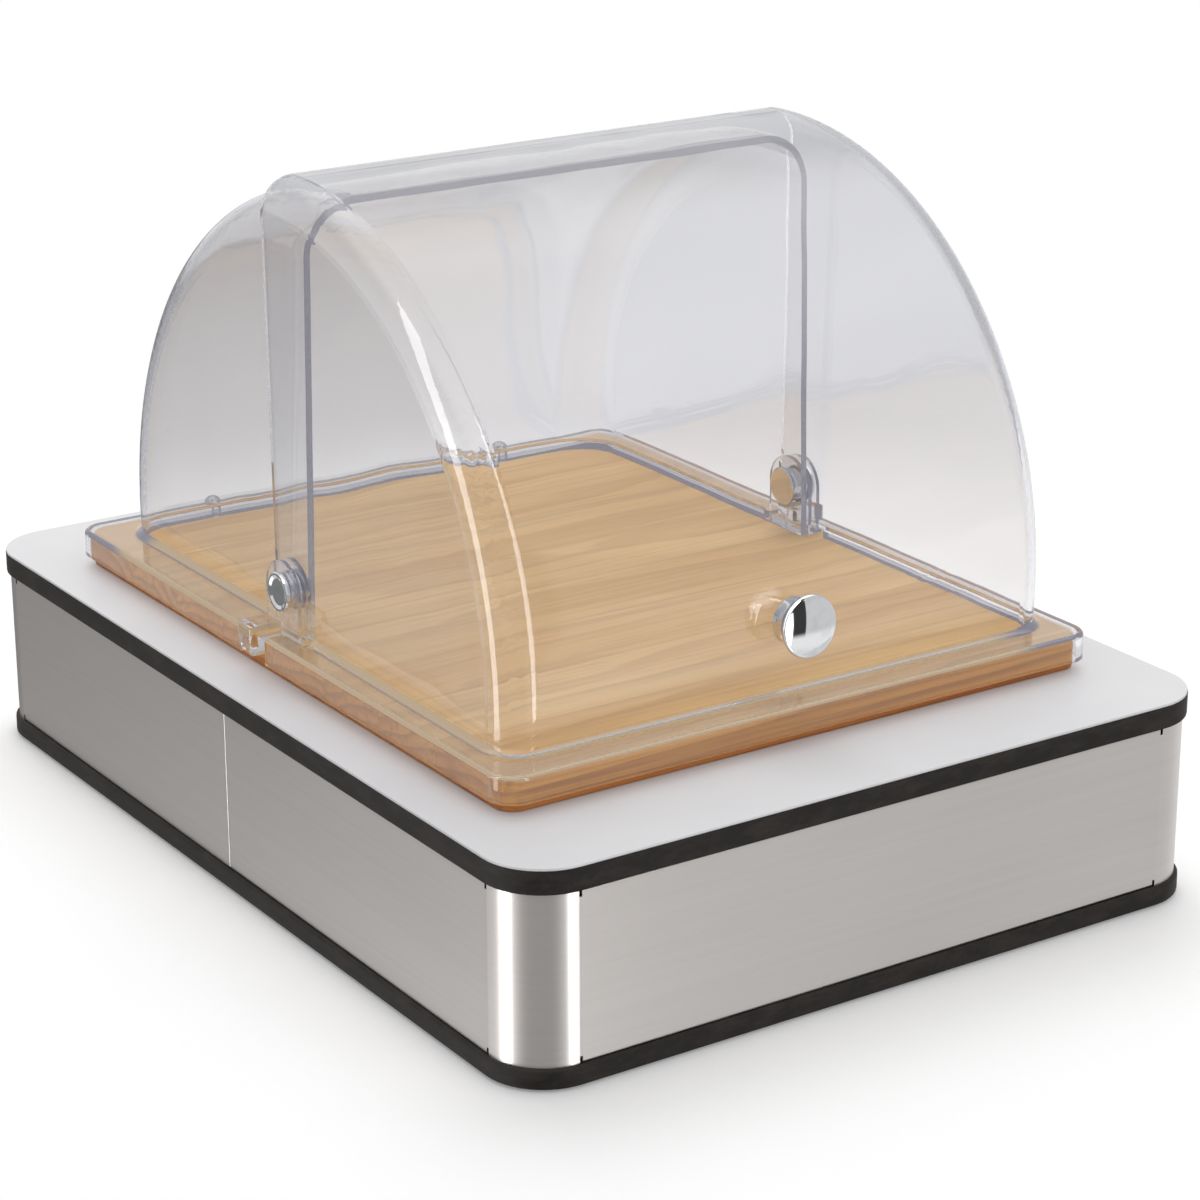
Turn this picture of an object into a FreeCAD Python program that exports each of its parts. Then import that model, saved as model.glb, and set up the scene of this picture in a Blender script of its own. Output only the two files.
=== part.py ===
import FreeCAD, Part
import math
import os

V = FreeCAD.Vector

# Base: outline and heights, from the floor upward
base_width = 321.0
base_depth = 440.0
base_corner = 25.0
pad_height = 1.0
pad_recess = 2.0
pad_radius = 12.0
pad_from_edge = 25.0
bottom_thickness = 8.0
top_thickness = 9.4
panel_edge_round = 1.0
band_height = 67.0
laminate_thickness = 1.0
laminate_inset = 0.2
laminate_edge_round = 0.3

# Steel band between the panels
band_inset = 1.6
band_sheet = 0.8
band_bend = 1.0
flange_width = 12.0
notch_width = 1.2
notch_depth = 2.7
seam_gap = 0.4
seam_edge_round = 0.4
splice_length = 40.0
splice_margin = 6.0
splice_sheet = 1.0

# Tie bolts through bottom panel and spacers into inserts of the top panel
bolt_from_edge = 45.0
bolt_radius = 3.0
bolt_head_radius = 5.5
bolt_head_height = 3.0
bolt_head_sink = 4.0
bolt_clearance = 0.25
bolt_head_clearance = 0.5
bolt_socket_flats = 5.0
bolt_socket_depth = 2.0
spacer_radius = 7.0
insert_radius = 4.5
insert_length = 6.0

# Screws through the upper flanges
screw_from_front_corner = 80.0
screw_from_side_corner = 120.0
screw_from_edge = 7.0
screw_radius = 1.5
screw_hole_clearance = 0.2
screw_head_radius = 3.0
screw_head_height = 2.0
screw_bite = 6.0

# Serving board
board_width = 269.6
board_depth = 339.8
board_thickness = 12.5
board_corner = 8.0
board_top_round = 1.5
board_bottom_round = 0.8

# Clear hoods: shared rim around the serving board
wall = 2.8
seat_gap = 0.1
rim_gap_x = 0.8
rim_gap_y = 1.3
rim_corner = 11.0
rim_edge_round = 2.0
skirt_above_top = 4.3
foot_round = 4.0
foot_inset = 0.3
front_lift = 0.3

# Hood drums about the hinge axis
axis_y = 5.9
axis_above_top = 32.3
shelf_at_front = 15.4
shelf_at_sides = 12.3
hood_gap_radial = 5.4
hood_gap_sides = 2.6
front_round = 14.0
rear_round = 21.0
front_flare_degrees = 0.5
rear_draft_degrees = 1.0
front_overlap = 8.3
rear_overlap = 11.4
front_rim_gap = 4.7
rear_rim_gap = 4.0
zone_gap_front = 8.0
zone_gap_sides = 1.5
lobe_gap = 1.0
lobe_drop = 5.7

# Hinge brackets
ear_radius = 12.7
ear_gap = 0.6
ear_plate = 1.6
bracket_foot = 2.8
hook_length = 11.0
hook_gap = 1.0
hook_plate = 6.4
hook_below_shelf = 5.5
hook_rise = 6.6
hook_corner_round = 7.0
hook_edge_round = 1.5

# Hinge barrels and screws
barrel_radius = 7.0
barrel_clearance = 0.05
cap_radius = 8.2
cap_height = 2.0
cap_dish = 0.5
cap_rim = 1.3
cap_dish_radius = 5.5
cap_edge = 0.5
cap_seat_gap = 0.25
thread_radius = 2.0
thread_length = 8.0

# Knob on the front hood
knob_angle_degrees = 3.9
knob_radius = 12.3
knob_neck_radius = 9.2
knob_length = 13.0
knob_flare_start = 2.0
knob_flare_end = 10.5
knob_flare_hollow = 0.8
knob_dome = 1.2
knob_edge = 0.9
knob_sink = 1.0
knob_screw_radius = 2.5
knob_hole_clearance = 0.25
knob_thread_depth = 9.0
knob_screw_head_radius = 4.5
knob_screw_head_height = 1.9
knob_washer_radius = 5.0
knob_washer_thickness = 0.6

# Stop buffers on the rear shelf
buffer_x = 73.0
buffer_cap_radius = 3.8
buffer_cap_side = 1.6
buffer_cap_dome = 2.4
buffer_peg_radius = 2.2

# Derived levels
half_x = base_width / 2.0
half_y = base_depth / 2.0
bottom_low = pad_height
bottom_high = bottom_low + bottom_thickness
band_low = bottom_high
band_high = band_low + band_height
top_low = band_high
top_high = top_low + top_thickness
base_top = top_high + laminate_thickness
board_low = base_top
board_high = board_low + board_thickness
shelf_low = board_high + seat_gap
shelf_high = shelf_low + wall
skirt_low = base_top + skirt_above_top
axis_z = base_top + axis_above_top
rim_half_x = board_width / 2.0 + rim_gap_x + wall
rim_half_y = board_depth / 2.0 + rim_gap_y + wall

# Derived places in the base
pad_x = half_x - pad_from_edge
pad_y = half_y - pad_from_edge
bolt_x = half_x - bolt_from_edge
bolt_y = half_y - bolt_from_edge
screw_front_x = half_x - screw_from_front_corner
screw_side_y = half_y - screw_from_side_corner

# Derived hood and hinge sizes, outward from the hinge axis
front_flare = math.tan(math.radians(front_flare_degrees))
rear_draft = math.tan(math.radians(rear_draft_degrees))
front_lean = V(0, front_flare, -front_flare)
rear_lean = V(0, 0, rear_draft)
front_radius = rim_half_y + axis_y - shelf_at_front
front_half_width = rim_half_x - shelf_at_sides
rear_radius = front_radius - wall - hood_gap_radial
rear_half_width = front_half_width - wall - hood_gap_sides
inner_ear_outside = front_half_width - wall - ear_gap
outer_ear_inside = front_half_width + ear_gap
outer_ear_outside = outer_ear_inside + ear_plate
hook_inside = board_width / 2.0 + hook_gap
hook_outside = hook_inside + hook_plate
hook_back = axis_y + ear_radius
hook_front = hook_back - hook_length
front_rim_end = hook_front - front_rim_gap
rear_rim_end = hook_back + rear_rim_gap
hinge_zone_front = axis_y - ear_radius - zone_gap_front
hinge_zone_half = outer_ear_outside + zone_gap_sides
foot_high = shelf_low + bracket_foot
lobe_radius = axis_z - foot_high - lobe_gap
hinge_zone_top = lobe_drop - lobe_radius

# Working reach of cutting blocks, larger than the object
far = 600.0

pieces = {}


def box(x0, x1, y0, y1, z0, z1):
    """Block between two corners."""
    return Part.makeBox(x1 - x0, y1 - y0, z1 - z0, V(x0, y0, z0))


def rounded_block(hx, hy, radius, z0, z1):
    """Upright block with rounded vertical corners, centred on the origin."""
    k = radius * (1.0 - math.sqrt(0.5))
    a = Part.LineSegment(V(-hx + radius, -hy, z0), V(hx - radius, -hy, z0))
    b = Part.Arc(V(hx - radius, -hy, z0), V(hx - k, -hy + k, z0), V(hx, -hy + radius, z0))
    c = Part.LineSegment(V(hx, -hy + radius, z0), V(hx, hy - radius, z0))
    d = Part.Arc(V(hx, hy - radius, z0), V(hx - k, hy - k, z0), V(hx - radius, hy, z0))
    e = Part.LineSegment(V(hx - radius, hy, z0), V(-hx + radius, hy, z0))
    f = Part.Arc(V(-hx + radius, hy, z0), V(-hx + k, hy - k, z0), V(-hx, hy - radius, z0))
    g = Part.LineSegment(V(-hx, hy - radius, z0), V(-hx, -hy + radius, z0))
    h = Part.Arc(V(-hx, -hy + radius, z0), V(-hx + k, -hy + k, z0), V(-hx + radius, -hy, z0))
    wire = Part.Wire([s.toShape() for s in (a, b, c, d, e, f, g, h)])
    return Part.Face(wire).extrude(V(0, 0, z1 - z0))


def edges_at_height(shape, z):
    """Edges that lie wholly in one horizontal plane."""
    found = []
    for edge in shape.Edges:
        bounds = edge.BoundBox
        if abs(bounds.ZMin - z) < 1e-4 and abs(bounds.ZMax - z) < 1e-4:
            found.append(edge)
    return found


def upright(radius, x, y, z0, z1):
    """Upright cylinder between two heights."""
    return Part.makeCylinder(radius, z1 - z0, V(x, y, z0), V(0, 0, 1))


def across(radius, x0, x1):
    """Cylinder along the hinge axis between two x positions."""
    return Part.makeCylinder(radius, x1 - x0, V(x0, axis_y, axis_z), V(1, 0, 0))


def revolve(legs, centre, direction):
    """Solid of revolution about a direction, from legs of (radius, height) points.

    The first leg is the start point. A leg of one point is a straight line to it,
    and a leg of two points is an arc through the first to the second.
    """
    axis = V(direction)
    axis.normalize()
    across_axis = V(0, 1, 0) if axis.x != 0.0 else V(1, 0, 0)
    side = axis.cross(across_axis)
    side.normalize()
    turned = [[V(centre) + side * r + axis * t for r, t in leg] for leg in legs]
    start = turned[0][-1]
    last = start
    lines = []
    for leg in turned[1:]:
        if len(leg) == 2:
            lines.append(Part.Arc(last, leg[0], leg[1]).toShape())
        else:
            lines.append(Part.makeLine(last, leg[0]))
        last = leg[-1]
    lines.append(Part.makeLine(last, start))
    return Part.Face(Part.Wire(lines)).revolve(V(centre), axis, 360.0)


def dome(radius, rise, top):
    """Arc leg of a domed end, through a half-way point to its top on the axis."""
    ball_radius = (radius ** 2 + rise ** 2) / (2.0 * rise)
    half = radius / 2.0
    half_height = top - ball_radius + math.sqrt(ball_radius ** 2 - half ** 2)
    return [(half, half_height), (0.0, top)]


def keep(name, shape):
    """Store one finished piece under its node name."""
    solid = shape.removeSplitter()
    if solid.ShapeType != "Solid" and len(solid.Solids) == 1:
        solid = solid.Solids[0]
    pieces[name] = solid


corners = (
    ("front_left", -1, -1),
    ("front_right", 1, -1),
    ("rear_left", -1, 1),
    ("rear_right", 1, 1),
)
flange_screws = (
    ("front_left", -screw_front_x, -(half_y - band_inset - screw_from_edge)),
    ("front_right", screw_front_x, -(half_y - band_inset - screw_from_edge)),
    ("rear_left", -screw_front_x, half_y - band_inset - screw_from_edge),
    ("rear_right", screw_front_x, half_y - band_inset - screw_from_edge),
    ("left_front", -(half_x - band_inset - screw_from_edge), -screw_side_y),
    ("left_rear", -(half_x - band_inset - screw_from_edge), screw_side_y),
    ("right_front", half_x - band_inset - screw_from_edge, -screw_side_y),
    ("right_rear", half_x - band_inset - screw_from_edge, screw_side_y),
)

# Panels of the base
bottom = rounded_block(half_x, half_y, base_corner, bottom_low, bottom_high)
bottom = bottom.makeFillet(panel_edge_round, edges_at_height(bottom, bottom_high))
bottom = bottom.makeFillet(panel_edge_round, edges_at_height(bottom, bottom_low))
top = rounded_block(half_x, half_y, base_corner, top_low, top_high)
top = top.makeFillet(panel_edge_round, edges_at_height(top, top_low))
for label, sx, sy in corners:
    bx = sx * bolt_x
    by = sy * bolt_y
    px = sx * pad_x
    py = sy * pad_y
    sink_top = bottom_low + bolt_head_sink
    insert_top = top_low + insert_length
    sink = upright(bolt_head_radius + bolt_head_clearance, bx, by, bottom_low, sink_top)
    passage = upright(bolt_radius + bolt_clearance, bx, by, bottom_low, bottom_high)
    bottom = bottom.cut(sink).cut(passage)
    pad_top = bottom_low + pad_recess
    bottom = bottom.cut(upright(pad_radius, px, py, bottom_low, pad_top))
    top = top.cut(upright(insert_radius, bx, by, top_low, insert_top))
    pad = upright(pad_radius, px, py, 0.0, pad_top)
    keep("foot_pad_" + label, pad)
    tube = upright(spacer_radius, bx, by, band_low, band_high)
    tube = tube.cut(upright(bolt_radius + bolt_clearance, bx, by, band_low, band_high))
    keep("corner_spacer_" + label, tube)
    sleeve = upright(insert_radius, bx, by, top_low, insert_top)
    sleeve = sleeve.cut(upright(bolt_radius, bx, by, top_low, insert_top))
    keep("thread_insert_" + label, sleeve)
    head_low = sink_top - bolt_head_height
    bolt = upright(bolt_head_radius, bx, by, head_low, sink_top)
    bolt = bolt.fuse(upright(bolt_radius, bx, by, sink_top, insert_top))
    socket_radius = bolt_socket_flats / math.sqrt(3.0)
    ring = []
    for step in range(7):
        turn = math.radians(60.0 * step)
        ring.append(V(bx + socket_radius * math.cos(turn), by + socket_radius * math.sin(turn), head_low))
    socket = Part.Face(Part.makePolygon(ring)).extrude(V(0, 0, bolt_socket_depth))
    keep("tie_bolt_" + label, bolt.cut(socket))
for label, x, y in flange_screws:
    bite_top = top_low + screw_bite
    top = top.cut(upright(screw_radius, x, y, top_low, bite_top))
    flange_under = band_high - band_sheet
    screw = upright(screw_head_radius, x, y, flange_under - screw_head_height, flange_under)
    screw = screw.fuse(upright(screw_radius, x, y, flange_under, bite_top))
    keep("flange_screw_" + label, screw)
keep("bottom_panel", bottom)
keep("top_panel", top)
sheet = rounded_block(
    half_x - laminate_inset,
    half_y - laminate_inset,
    base_corner - laminate_inset,
    top_high,
    base_top,
)
keep("top_laminate", sheet.makeFillet(laminate_edge_round, edges_at_height(sheet, base_top)))

# Steel bands: straight runs with flanges, plain corners, notches at the tangent lines
band_x = half_x - band_inset
band_y = half_y - band_inset
band_corner = base_corner - band_inset
run_x = band_x - band_corner
run_y = band_y - band_corner


def channel(start, end, inward):
    """Straight run of sheet with a web and two inward flanges."""
    r_out = band_bend
    r_in = band_bend - band_sheet
    k_out = r_out * (1.0 - math.sqrt(0.5))
    k_in = band_sheet + r_in * (1.0 - math.sqrt(0.5))
    z0 = band_low
    z1 = band_high

    def at(u, z):
        return V(start.x + inward.x * u, start.y + inward.y * u, z)

    parts = [
        Part.LineSegment(at(flange_width, z0), at(r_out, z0)),
        Part.Arc(at(r_out, z0), at(k_out, z0 + k_out), at(0, z0 + r_out)),
        Part.LineSegment(at(0, z0 + r_out), at(0, z1 - r_out)),
        Part.Arc(at(0, z1 - r_out), at(k_out, z1 - k_out), at(r_out, z1)),
        Part.LineSegment(at(r_out, z1), at(flange_width, z1)),
        Part.LineSegment(at(flange_width, z1), at(flange_width, z1 - band_sheet)),
        Part.LineSegment(at(flange_width, z1 - band_sheet), at(r_out, z1 - band_sheet)),
        Part.Arc(at(r_out, z1 - band_sheet), at(k_in, z1 - k_in), at(band_sheet, z1 - r_out)),
        Part.LineSegment(at(band_sheet, z1 - r_out), at(band_sheet, z0 + r_out)),
        Part.Arc(at(band_sheet, z0 + r_out), at(k_in, z0 + k_in), at(r_out, z0 + band_sheet)),
        Part.LineSegment(at(r_out, z0 + band_sheet), at(flange_width, z0 + band_sheet)),
        Part.LineSegment(at(flange_width, z0 + band_sheet), at(flange_width, z0)),
    ]
    wire = Part.Wire([p.toShape() for p in parts])
    return Part.Face(wire).extrude(end - start)


def edges_at_seam(shape, x, y):
    """Upright edge where a leg's outer face meets its end at the seam."""
    found = []
    for edge in shape.Edges:
        bounds = edge.BoundBox
        if abs(bounds.XMin - x) < 1e-4 and abs(bounds.XMax - x) < 1e-4 and abs(bounds.Center.y - y) < 1e-4:
            found.append(edge)
    return found


def half_band(sign):
    """One U-shaped half of the band; sign -1 is the front half, +1 the rear half."""
    y_out = sign * band_y
    run_end = run_x - notch_width
    shape = channel(V(-run_end, y_out, 0), V(run_end, y_out, 0), V(0, -sign, 0))
    low = band_low + notch_depth
    high = band_high - notch_depth
    y_in = y_out - sign * band_sheet
    for side in (-1, 1):
        x_out = side * band_x
        x_in = x_out - side * band_sheet
        strip_x = sorted((side * run_x, side * run_end))
        strip_y = sorted((y_out, y_in))
        shape = shape.fuse(box(strip_x[0], strip_x[1], strip_y[0], strip_y[1], low, high))
        ring = upright(band_corner, side * run_x, sign * run_y, band_low, band_high)
        ring = ring.cut(upright(band_corner - band_sheet, side * run_x, sign * run_y, band_low, band_high))
        quarter_x = sorted((side * run_x, side * (band_x + 1.0)))
        quarter_y = sorted((sign * run_y, sign * (band_y + 1.0)))
        quarter = box(quarter_x[0], quarter_x[1], quarter_y[0], quarter_y[1], band_low, band_high)
        shape = shape.fuse(ring.common(quarter))
        leg_end = sign * (run_y - notch_width)
        leg_x = sorted((x_out, x_in))
        leg_y = sorted((sign * run_y, leg_end))
        shape = shape.fuse(box(leg_x[0], leg_x[1], leg_y[0], leg_y[1], low, high))
        seam = sign * seam_gap / 2.0
        leg = channel(V(x_out, leg_end, 0), V(x_out, seam, 0), V(-side, 0, 0))
        leg = leg.makeFillet(seam_edge_round, edges_at_seam(leg, x_out, seam))
        shape = shape.fuse(leg)
    for label, x, y in flange_screws:
        hole = upright(screw_radius + screw_hole_clearance, x, y, band_high - band_sheet, band_high)
        if y * sign > 0:
            shape = shape.cut(hole)
    return shape


keep("front_band", half_band(-1))
keep("rear_band", half_band(1))
for label, side in (("left", -1), ("right", 1)):
    outer = side * (band_x - band_sheet)
    inner = outer - side * splice_sheet
    ends = sorted((outer, inner))
    plate = box(
        ends[0],
        ends[1],
        -splice_length / 2.0,
        splice_length / 2.0,
        band_low + splice_margin,
        band_high - splice_margin,
    )
    keep(label + "_splice_plate", plate)

# Serving board
plank = rounded_block(board_width / 2.0, board_depth / 2.0, board_corner, board_low, board_high)
plank = plank.makeFillet(board_bottom_round, edges_at_height(plank, board_low))
plank = plank.makeFillet(board_top_round, edges_at_height(plank, board_high))
keep("serving_board", plank)


def drum(radius, half_width, rounding, lean):
    """Closed drum about the hinge axis with leaning ends and rounded rims.

    The drum narrows along the lean, by the lean's length per millimetre, and has
    its half width at the hinge axis.
    """
    slope = lean.Length
    along = V(lean)
    along.normalize()
    beside = V(1, 0, 0).cross(along)
    centre = V(0, axis_y, axis_z)
    reach = far / 2.0
    wide = half_width + slope * reach
    narrow = half_width - slope * reach
    outline = [
        centre + V(-wide, 0, 0) - along * reach,
        centre + V(wide, 0, 0) - along * reach,
        centre + V(narrow, 0, 0) + along * reach,
        centre + V(-narrow, 0, 0) + along * reach,
    ]
    outline = [p - beside * reach for p in outline]
    wedge = Part.Face(Part.makePolygon(outline + [outline[0]])).extrude(beside * far)
    body = across(radius, -far / 2.0, far / 2.0).common(wedge)
    rims = [e for e in body.Edges if not isinstance(e.Curve, (Part.Line, Part.LineSegment))]
    return body.makeFillet(rounding, rims)


def foot_ring(radius, half_width, rounding, facing, lean):
    """Hollow rounding between a hood's walls and its shelf, as a solid band."""
    level = shelf_high + foot_round / 2.0 - axis_z
    front_end = math.sqrt(radius ** 2 - level ** 2) - foot_inset

    def side_at(reach):
        return half_width - lean.y * facing * reach - lean.z * level - foot_inset

    low = shelf_high - wall / 2.0
    plan = [
        V(-side_at(-far / 4.0), axis_y - facing * far / 4.0, low),
        V(side_at(-far / 4.0), axis_y - facing * far / 4.0, low),
        V(side_at(front_end), axis_y + facing * front_end, low),
        V(-side_at(front_end), axis_y + facing * front_end, low),
    ]
    post = Part.Face(Part.makePolygon(plan + [plan[0]])).extrude(V(0, 0, 4.0 * foot_round))
    uprights = []
    for edge in post.Edges:
        bounds = edge.BoundBox
        if bounds.ZLength > foot_round and facing * (bounds.YMin - axis_y) > 0.0:
            uprights.append(edge)
    post = post.makeFillet(rounding, uprights)
    plate = box(-far, far, -far, far, low, shelf_high)
    whole = plate.fuse(post).removeSplitter()
    feet = []
    for edge in edges_at_height(whole, shelf_high):
        bounds = edge.BoundBox
        if max(abs(bounds.XMin), abs(bounds.XMax), abs(bounds.YMin), abs(bounds.YMax)) < far - 1.0:
            feet.append(edge)
    whole = whole.makeFillet(foot_round, feet)
    zone_y = sorted((axis_y, facing * far))
    keep_zone = box(-far, far, zone_y[0], zone_y[1], low, shelf_high + foot_round)
    outline = rounded_block(rim_half_x - wall, rim_half_y - wall, rim_corner - wall, low, far)
    return whole.common(keep_zone).common(outline)


def hood_solid(outer_drum, ring):
    """Drum standing on the rim block, with a rounded foot."""
    block = rounded_block(rim_half_x, rim_half_y, rim_corner, skirt_low, shelf_high)
    block = block.makeFillet(rim_edge_round, edges_at_height(block, shelf_high))
    upper = outer_drum.common(box(-far, far, -far, far, shelf_high - wall / 2.0, far))
    return block.fuse(upper).fuse(ring)


front_outer = drum(front_radius, front_half_width, front_round, front_lean)
front_inner = drum(front_radius - wall, front_half_width - wall, front_round - wall, front_lean)
rear_outer = drum(rear_radius, rear_half_width, rear_round, rear_lean)
rear_inner = drum(rear_radius - wall, rear_half_width - wall, rear_round - wall, rear_lean)
rim_pocket_x = rim_half_x - wall
rim_pocket_y = rim_half_y - wall
rim_pocket_corner = rim_corner - wall

# Front hood
pocket = rounded_block(rim_pocket_x, rim_pocket_y, rim_pocket_corner, 0.0, shelf_low + front_lift)
ring = foot_ring(front_radius, front_half_width, front_round, -1, front_lean)
front = hood_solid(front_outer, ring).cut(pocket).cut(front_inner)
front = front.cut(box(-far, far, axis_y + front_overlap, far, 0.0, far))
zone_top = axis_z + hinge_zone_top
front = front.cut(box(-far, far, front_rim_end, far, 0.0, zone_top))
front = front.cut(box(-hinge_zone_half, hinge_zone_half, hinge_zone_front, far, 0.0, zone_top))
lobe_low = axis_z - lobe_radius
lobe = across(lobe_radius, -far / 2.0, far / 2.0)
lobe = lobe.common(box(-far / 2.0, far / 2.0, axis_y, axis_y + front_overlap, lobe_low, zone_top))
lobe = lobe.fuse(box(-far / 2.0, far / 2.0, hinge_zone_front, axis_y, lobe_low, zone_top))
cheek = front_outer.cut(front_inner).common(lobe)
front = front.fuse(cheek)
barrel_hole = across(barrel_radius + barrel_clearance, -far / 2.0, far / 2.0)
front = front.cut(barrel_hole)
knob_turn = math.radians(knob_angle_degrees)
knob_axis = V(0, -math.cos(knob_turn), math.sin(knob_turn))
hinge_centre = V(0, axis_y, axis_z)
knob_hole = Part.makeCylinder(
    knob_screw_radius + knob_hole_clearance,
    2.0 * wall,
    hinge_centre + knob_axis * (front_radius - 1.5 * wall),
    knob_axis,
)
front = front.cut(knob_hole)
keep("front_hood", front)

# Rear hood
pocket = rounded_block(rim_pocket_x, rim_pocket_y, rim_pocket_corner, 0.0, shelf_low)
ring = foot_ring(rear_radius, rear_half_width, rear_round, 1, rear_lean)
rear = hood_solid(rear_outer, ring).cut(pocket).cut(rear_inner)
rear = rear.cut(box(-far, far, -far, axis_y - rear_overlap, 0.0, far))
rear = rear.cut(box(-far, far, -far, rear_rim_end, 0.0, zone_top))
flat_cheek = box(-far / 2.0, far / 2.0, axis_y - rear_overlap, rear_rim_end, shelf_low, zone_top)
cheek = rear_outer.cut(rear_inner).common(flat_cheek)
rear = rear.fuse(cheek)
rear = rear.cut(barrel_hole)
barrel_inner = rear_half_width - wall
rear = rear.cut(across(cap_radius + cap_seat_gap, -barrel_inner, barrel_inner))
buffer_y = axis_y + math.sqrt((front_radius - wall / 2.0) ** 2 - front_overlap ** 2)
peg_hole_radius = buffer_peg_radius + seat_gap
for sx in (-1, 1):
    rear = rear.cut(upright(peg_hole_radius, sx * buffer_x, buffer_y, shelf_low, shelf_high))
keep("rear_hood", rear)

# Hinge brackets: a foot, two ears around the front hood's wall, a hook over the board's edge
bar_high = shelf_low + hook_rise
hook_low = shelf_low - hook_below_shelf
rear_clear = drum(rear_radius + seat_gap, rear_half_width + seat_gap, rear_round + seat_gap, rear_lean)


def bracket(side):
    """Clear fork that carries one hinge barrel."""

    def span(a, b, y0, y1, z0, z1):
        ends = sorted((side * a, side * b))
        return box(ends[0], ends[1], y0, y1, z0, z1)

    def ear(a, b):
        ends = sorted((side * a, side * b))
        disc = across(ear_radius, ends[0], ends[1])
        return disc.fuse(span(a, b, axis_y - ear_radius, axis_y + ear_radius, shelf_low, axis_z))

    def tongue():
        block = span(hook_inside, hook_outside, hook_front, hook_back, hook_low, bar_high)
        lower_rear = []
        for edge in edges_at_height(block, hook_low):
            if edge.BoundBox.YMin > hook_back - 1e-4:
                lower_rear.append(edge)
        block = block.makeFillet(hook_corner_round, lower_rear)
        outer = []
        for edge in block.Edges:
            bounds = edge.BoundBox
            if bounds.XLength < 1e-4 and abs(abs(bounds.XMin) - hook_outside) < 1e-4:
                outer.append(edge)
        return block.makeFillet(hook_edge_round, outer)

    start = rear_half_width - wall / 2.0
    shape = span(start, outer_ear_outside, axis_y - ear_radius, hook_back, shelf_low, foot_high)
    shape = shape.fuse(ear(start, inner_ear_outside))
    shape = shape.fuse(ear(outer_ear_inside, outer_ear_outside))
    shape = shape.fuse(span(outer_ear_inside, hook_inside, hook_front, hook_back, shelf_low, bar_high))
    shape = shape.fuse(tongue())
    return shape.cut(rear_clear).cut(barrel_hole)


for label, side in (("left", -1), ("right", 1)):
    keep(label + "_hinge_bracket", bracket(side))

# Hinge barrels (outer heads) and screws (inner heads)
for label, side in (("left", -1), ("right", 1)):
    cap_seat = outer_ear_outside + seat_gap
    seat = V(side * cap_seat, axis_y, axis_z)
    outward = V(side, 0, 0)
    head = revolve(
        [
            [(0.0, 0.0)],
            [(cap_radius - cap_edge, 0.0)],
            [(cap_radius, cap_edge)],
            [(cap_radius, cap_height - cap_edge)],
            [(cap_radius - cap_edge, cap_height)],
            [(cap_radius - cap_rim, cap_height)],
            [(cap_dish_radius, cap_height - cap_dish)],
            [(0.0, cap_height - cap_dish)],
        ],
        seat,
        outward,
    )
    ends = sorted((side * barrel_inner, side * cap_seat))
    barrel = head.fuse(across(barrel_radius, ends[0], ends[1]))
    head_seat = barrel_inner - seat_gap
    bore_end = barrel_inner + thread_length
    ends = sorted((side * head_seat, side * bore_end))
    barrel = barrel.cut(across(thread_radius, ends[0], ends[1]))
    keep(label + "_hinge_barrel", barrel)
    seat = V(side * head_seat, axis_y, axis_z)
    inward = V(-side, 0, 0)
    head = revolve(
        [
            [(0.0, 0.0)],
            [(cap_radius - cap_edge, 0.0)],
            [(cap_radius, cap_edge)],
            [(cap_radius, cap_height - cap_edge)],
            [(cap_radius - cap_edge, cap_height)],
            [(0.0, cap_height)],
        ],
        seat,
        inward,
    )
    shank = head.fuse(across(thread_radius, ends[0], ends[1]))
    keep(label + "_hinge_screw", shank)

# Stop buffers: domed caps on pegs through the rear shelf
for label, sx in (("left", -1), ("right", 1)):
    stop = revolve(
        [
            [(0.0, -wall)],
            [(buffer_peg_radius, -wall)],
            [(buffer_peg_radius, seat_gap)],
            [(buffer_cap_radius, seat_gap)],
            [(buffer_cap_radius, buffer_cap_side)],
            dome(buffer_cap_radius, buffer_cap_dome, buffer_cap_side + buffer_cap_dome),
        ],
        V(sx * buffer_x, buffer_y, shelf_high),
        V(0, 0, 1),
    )
    keep(label + "_stop_buffer", stop)

# Knob, washer and screw
knob_seat = hinge_centre + knob_axis * front_radius
flare_middle = (knob_flare_start + knob_flare_end) / 2.0
flare_radius = (knob_neck_radius + knob_radius) / 2.0 - knob_flare_hollow
face_radius = knob_radius - knob_edge
face_edge = knob_length - knob_dome
bend = knob_edge * (1.0 - math.sqrt(0.5))
grip = revolve(
    [
        [(0.0, -knob_sink)],
        [(knob_neck_radius, -knob_sink)],
        [(knob_neck_radius, knob_flare_start)],
        [(flare_radius, flare_middle), (knob_radius, knob_flare_end)],
        [(knob_radius, face_edge - knob_edge)],
        [(knob_radius - bend, face_edge - bend), (face_radius, face_edge)],
        dome(face_radius, knob_dome, knob_length),
    ],
    knob_seat,
    knob_axis,
)
front_clear = drum(front_radius + seat_gap, front_half_width + seat_gap, front_round + seat_gap, front_lean)
grip = grip.cut(front_clear)
grip = grip.cut(Part.makeCylinder(knob_screw_radius, knob_thread_depth, knob_seat, knob_axis))
keep("knob", grip)
sagitta = (front_radius - wall) - math.sqrt((front_radius - wall) ** 2 - knob_washer_radius ** 2)
washer_seat = hinge_centre + knob_axis * (front_radius - wall - sagitta - seat_gap)
inside = knob_axis * -1.0
washer = Part.makeCylinder(knob_washer_radius, knob_washer_thickness, washer_seat, inside)
washer = washer.cut(Part.makeCylinder(knob_screw_radius, knob_washer_thickness, washer_seat, inside))
keep("knob_washer", washer)
head_seat = washer_seat + inside * knob_washer_thickness
pan = Part.makeCylinder(knob_screw_head_radius, knob_screw_head_height, head_seat, inside)
reach = (knob_seat - head_seat).Length + knob_thread_depth
pan = pan.fuse(Part.makeCylinder(knob_screw_radius, reach, head_seat, knob_axis))
keep("knob_screw", pan)

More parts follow.
